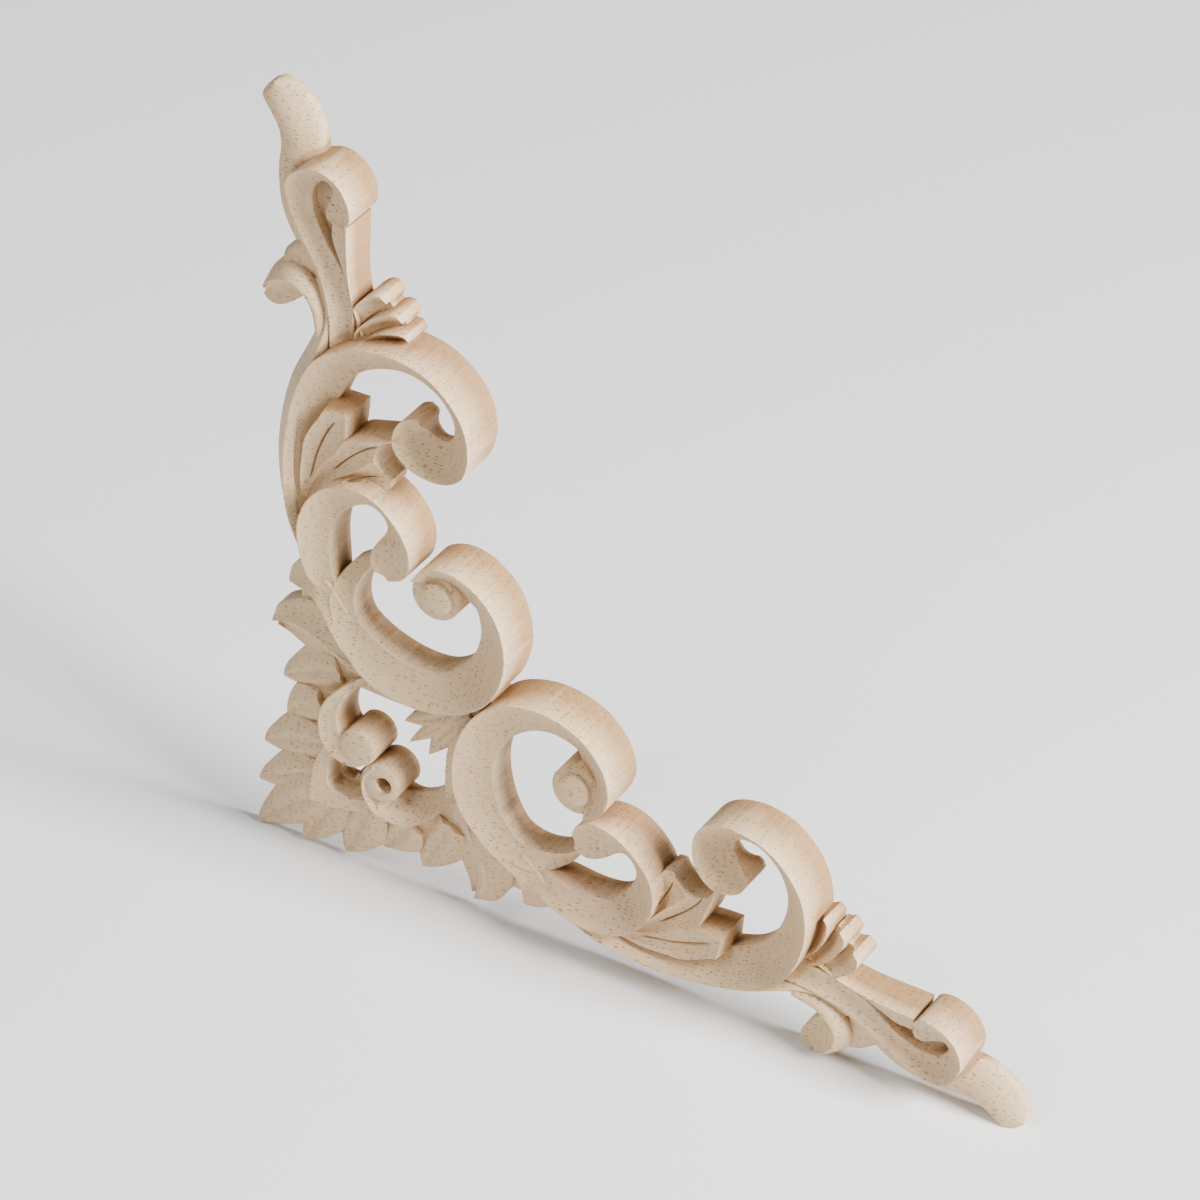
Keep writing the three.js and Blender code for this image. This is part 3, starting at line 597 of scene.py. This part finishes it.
# The wood: bare pale wood of one board, its grain along the level arm, with short brown pores,
# faint streaks, painted warm brown shade in the recesses, painted shade on the faces that look
# to the front, and fine saw ridges from front to back on the walls.
CELL = 0.5           # mm, side of a cell of the height map
CELLS = 432          # cells along each side of the map
MAP_START = -6.0     # mm, place of its first cell
SAMPLING = ((0, 0.8, 3), (0.8, 2, 6), (2, 6, 16), (6, 500, 60))  # span from, to; steps
REACHES = ((2, 2.5, 0.45), (4, 5, 0.35), (9, 8, 0.3))  # cells, mm of full depth, share
LOOK_AHEAD = 1.6     # how far in front of a face the map is read, in reaches


def cell_of(place):
    """The number of the map's cell, along one side, in which a place in mm lies."""
    return ((place + INSET - MAP_START) / CELL).astype(int)


def height_map(mesh):
    """The carving seen from the front as heights on a square grid: every triangle is
    sampled at points closer than a cell, and each cell keeps the highest one."""
    mesh.calc_loop_triangles()
    place = vertex_rows(mesh) * 1000
    corner = np.empty(len(mesh.loop_triangles) * 3, np.int32)
    mesh.loop_triangles.foreach_get("vertices", corner)
    tri = place[corner.reshape(-1, 3)]
    heights = np.zeros(CELLS * CELLS)
    span = np.abs(tri - np.roll(tri, 1, 1)).max((1, 2))
    for low, high, steps in SAMPLING:
        part = tri[(span >= low) & (span < high)]
        a, b = np.meshgrid(np.arange(steps + 1), np.arange(steps + 1))
        inside = a + b <= steps
        weight = np.stack([a[inside], b[inside], steps - (a + b)[inside]], 1) / steps
        points = np.einsum("kw,nwc->nkc", weight, part).reshape(-1, 3)
        column, row = cell_of(points[:, 0]), cell_of(points[:, 2])
        np.maximum.at(heights, row * CELLS + column, -points[:, 1])
    return heights.reshape(CELLS, CELLS)


def spread(grid, reach):
    """The mean over a square window of 2 reach + 1 cells, taken twice."""
    for _ in range(2):
        for axis in (0, 1):
            margin = [(reach + 1, reach) if n == axis else (0, 0) for n in (0, 1)]
            wide = np.pad(grid, margin, mode="edge")
            total = np.cumsum(wide, axis)
            ahead = np.take(total, range(2 * reach + 1, total.shape[axis]), axis)
            behind = np.take(total, range(0, total.shape[axis] - 2 * reach - 1), axis)
            grid = (ahead - behind) / (2 * reach + 1)
    return grid


def add_recess_shade(mesh):
    """The recess attribute: how far each vertex lies below the mean height of what is in
    front of it, in three reaches, from 0 in the open to 1 in a deep groove. It sets how much
    painted shade darkens the wood there."""
    heights = height_map(mesh)
    place = vertex_rows(mesh) * 1000
    normal = vertex_rows(mesh, "normal")
    total = np.zeros(len(place))
    for reach, depth, share in REACHES:
        mean = spread(heights, reach)
        ahead = place + normal * [reach * CELL, 0, reach * CELL] * LOOK_AHEAD
        column, row = (np.clip(cell_of(ahead[:, n]), 0, CELLS - 1) for n in (0, 2))
        below = mean[row, column] + place[:, 1]
        total += share * np.clip(below / depth, 0, 1)
    recess_shade = mesh.attributes.new("recess_shade", "FLOAT", "POINT")
    recess_shade.data.foreach_set("value", np.clip(total, 0, 1).astype(np.float32))


add_recess_shade(carving.data)
wood = bpy.data.materials.new("carved_wood")
wood.use_nodes = True
nodes, links = wood.node_tree.nodes, wood.node_tree.links
shader = nodes["Principled BSDF"]
shader.inputs["Roughness"].default_value = 0.62
shader.inputs["Specular IOR Level"].default_value = 0.3


def put(kind, **values):
    """A node of the kind, with its values set: sockets by name, the rest as properties."""
    node = nodes.new(kind)
    for name, value in values.items():
        if name.replace("_", " ") in node.inputs:
            node.inputs[name.replace("_", " ")].default_value = value
        else:
            setattr(node, name, value)
    return node


def mapped(scale):
    """Object coordinates times a scale in cycles per millimetre."""
    node = put("ShaderNodeMapping", Scale=[1000 * k for k in scale])
    links.new(place_node.outputs["Object"], node.inputs["Vector"])
    return node.outputs["Vector"]


def ramp(value, low, high, to_low=0.0, to_high=1.0):
    """The value moved from one range to another and held inside it."""
    node = put("ShaderNodeMapRange", From_Min=low, From_Max=high, To_Min=to_low, To_Max=to_high)
    links.new(value, node.inputs["Value"])
    return node.outputs["Result"]


def combined(a, b, operation="MULTIPLY"):
    """Two values put together by an operation."""
    node = put("ShaderNodeMath", operation=operation)
    for value, socket in ((a, node.inputs[0]), (b, node.inputs[1])):
        if isinstance(value, (int, float)):
            socket.default_value = value
        else:
            links.new(value, socket)
    return node.outputs[0]


def blended(share, first, second):
    """One colour turned into another by a share."""
    node = put("ShaderNodeMix", data_type="RGBA")
    share_in, first_in, second_in = (node.inputs[n] for n in (0, 6, 7))
    for value, socket in ((share, share_in), (first, first_in), (second, second_in)):
        if isinstance(value, tuple):
            socket.default_value = (*value, 1)
        else:
            links.new(value, socket)
    return node.outputs[2]


def noise(scale, detail=2.0):
    """Smooth noise from 0 to 1, with a scale in cycles per millimetre along each axis."""
    node = put("ShaderNodeTexNoise", Scale=1.0, Detail=detail)
    links.new(mapped(scale), node.inputs["Vector"])
    return node.outputs["Fac"]


place_node = put("ShaderNodeTexCoord")
# pores: sparse cells drawn out along the grain
cells = put("ShaderNodeTexVoronoi", Scale=1.0, Randomness=1.0)
links.new(mapped((0.5, 2.3, 2.3)), cells.inputs["Vector"])
split = put("ShaderNodeSeparateColor")
links.new(cells.outputs["Color"], split.inputs[0])
pores = combined(ramp(cells.outputs["Distance"], 0.36, 0.2), ramp(split.outputs[0], 0.4, 0.6))
# front-to-back ridges on the walls
split = put("ShaderNodeSeparateXYZ")
links.new(place_node.outputs["Normal"], split.inputs[0])
side = put("ShaderNodeMath", operation="ABSOLUTE")
links.new(split.outputs["Y"], side.inputs[0])
wall = ramp(side.outputs[0], 0.7, 0.25)
ridges = combined(noise((2.3, 0.12, 2.3), 1.0), wall)
# colours, laid over one another from the broad patches to the pores
YELLOWISH, REDDISH = (0.71, 0.545, 0.32), (0.70, 0.50, 0.32)
STREAK, PAINTED_RECESS_SHADE, PAINTED_FRONT_SHADE = (0.60, 0.42, 0.235), (0.34, 0.185, 0.075), (0.44, 0.30, 0.16)
SAW_MARK, FLECK, PORE = (0.45, 0.28, 0.13), (0.42, 0.27, 0.13), (0.22, 0.115, 0.05)
tone = blended(ramp(noise((0.018, 0.03, 0.018)), 0.35, 0.65), YELLOWISH, REDDISH)
streaks = ramp(noise((0.05, 0.9, 0.9), 3.0), 0.35, 0.7)
tone = blended(combined(streaks, 0.4), tone, STREAK)
# painted shade: a warm brown laid into the recesses by the recess measure, standing in for the
# shade that falls there
attribute = put("ShaderNodeAttribute", attribute_name="recess_shade")
deep = ramp(attribute.outputs["Fac"], 0.05, 0.42)
tone = blended(combined(deep, 0.92), tone, PAINTED_RECESS_SHADE)
# painted shade: faces that look to the front are darkened by their normal, standing in for the
# weaker light they get
tone = blended(ramp(side.outputs[0], 0.3, 0.9, 0.0, 0.5), tone, PAINTED_FRONT_SHADE)
tone = blended(combined(ramp(ridges, 0.42, 0.7), 0.4), tone, SAW_MARK)
flecks = ramp(noise((0.7, 1.8, 1.8), 3.0), 0.5, 0.72)
tone = blended(combined(flecks, 0.3), tone, FLECK)
tone = blended(combined(pores, 0.9), tone, PORE)
links.new(tone, shader.inputs["Base Color"])
# relief of pores, ridges and fuzz
relief = combined(combined(pores, -0.6), combined(ridges, 0.9), "ADD")
relief = combined(relief, combined(noise((1.6, 1.6, 1.6), 3.0), 0.5), "ADD")
bump = put("ShaderNodeBump", Strength=0.6, Distance=0.0002)
links.new(relief, bump.inputs["Height"])
links.new(bump.outputs["Normal"], shader.inputs["Normal"])
carving.data.materials.clear()
carving.data.materials.append(wood)

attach(carving, "root")
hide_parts("corner_onlay")

# Floor, lamps and camera: a pale matt floor under the onlay, a large soft lamp on the right
# almost in the plane of the board, a weaker one in front, and the camera as it was found
# from the picture's perspective.
FLOOR_REACH, FLOOR_HEIGHT = 6, -0.0135   # m
floor_mesh = bpy.data.meshes.new("floor")
floor_corners = [
    (x * FLOOR_REACH, y * FLOOR_REACH, FLOOR_HEIGHT)
    for x, y in ((-1, -1), (1, -1), (1, 1), (-1, 1))
]
floor_mesh.from_pydata(floor_corners, [], [(0, 1, 2, 3)])
floor = added("floor", floor_mesh)
pale = bpy.data.materials.new("pale_floor")
pale.use_nodes = True
pale.node_tree.nodes["Principled BSDF"].inputs["Base Color"].default_value = (0.8, 0.8, 0.8, 1)
pale.node_tree.nodes["Principled BSDF"].inputs["Roughness"].default_value = 0.9
floor.data.materials.append(pale)


def lamp(name, place, target, size, power):
    """A square soft light at a place, turned to a target."""
    light = bpy.data.lights.new(name, "AREA")
    light.shape = "SQUARE"
    light.size = size
    light.energy = power
    piece = added(name, light)
    away = np.array(target, float) - np.array(place, float)
    away /= np.linalg.norm(away)
    right = np.cross(away, [0, 0, 1])
    right /= np.linalg.norm(right)
    top = np.cross(right, away)
    turn = Matrix((*zip(right, top, -away),))
    piece.matrix_world = Matrix.Translation(place) @ turn.to_4x4()


MIDDLE = (0.08, 0, 0.08)   # m, where both lamps point
lamp("key_light", (1.50, -0.14, 1.12), MIDDLE, 0.8, 125)
lamp("fill_light", (-0.45, -1.25, 1.55), MIDDLE, 1.0, 20)

world = bpy.data.worlds.new("studio")
world.use_nodes = True
world.node_tree.nodes["Background"].inputs["Color"].default_value = (0.9, 0.92, 0.95, 1)
world.node_tree.nodes["Background"].inputs["Strength"].default_value = 0.12
bpy.context.scene.world = world

camera_data = bpy.data.cameras.new("camera")
camera_data.lens = 210
camera_data.sensor_width = 36
camera_data.clip_start = 0.1
camera_data.clip_end = 50
camera = added("camera", camera_data)
# columns: its right, its top, the way back from the onlay, and its place in metres
camera.matrix_world = Matrix((
    (0.859860, -0.325706, 0.393136, 0.68282),
    (0.508783, 0.483060, -0.712596, -1.10371),
    (0.042188, 0.812754, 0.581078, 0.98372),
    (0, 0, 0, 1),
))
bpy.context.scene.camera = camera
